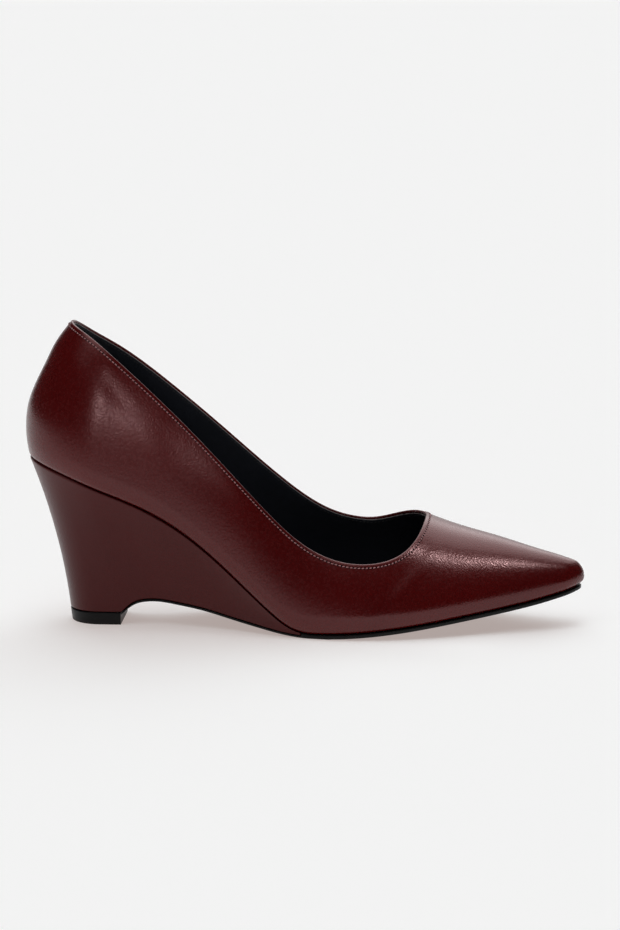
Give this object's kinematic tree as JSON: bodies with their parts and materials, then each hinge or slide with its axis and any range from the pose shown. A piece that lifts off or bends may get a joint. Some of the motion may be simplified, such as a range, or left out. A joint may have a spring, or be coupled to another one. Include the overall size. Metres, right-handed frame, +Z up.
{
  "type": "wedge pump",
  "caption": "Slip-on leather pump with a pointed toe, a low-cut topline, a high covered wedge heel with an arched underside and a thin sole.",
  "frame": {"origin": "centre of the heel tread's underside, on the floor", "axes": "+X towards the toe, +Y towards the inner side of the foot, +Z up"},
  "size_m": [0.2469, 0.0823, 0.1341],
  "materials": {
    "leather": "smooth semi-gloss burgundy leather with a fine grain",
    "wedge_cover": "smooth semi-gloss burgundy leather pulled tight over the heel",
    "lining": "matt black lining",
    "sole": "black sole with a polished edge",
    "tread": "black heel tread"
  },
  "bodies": {
    "root": {"upper": "leather", "insole": "lining", "wedge": "wedge_cover", "outsole": "sole", "top_piece": "tread"}
  },
  "joints": []
}
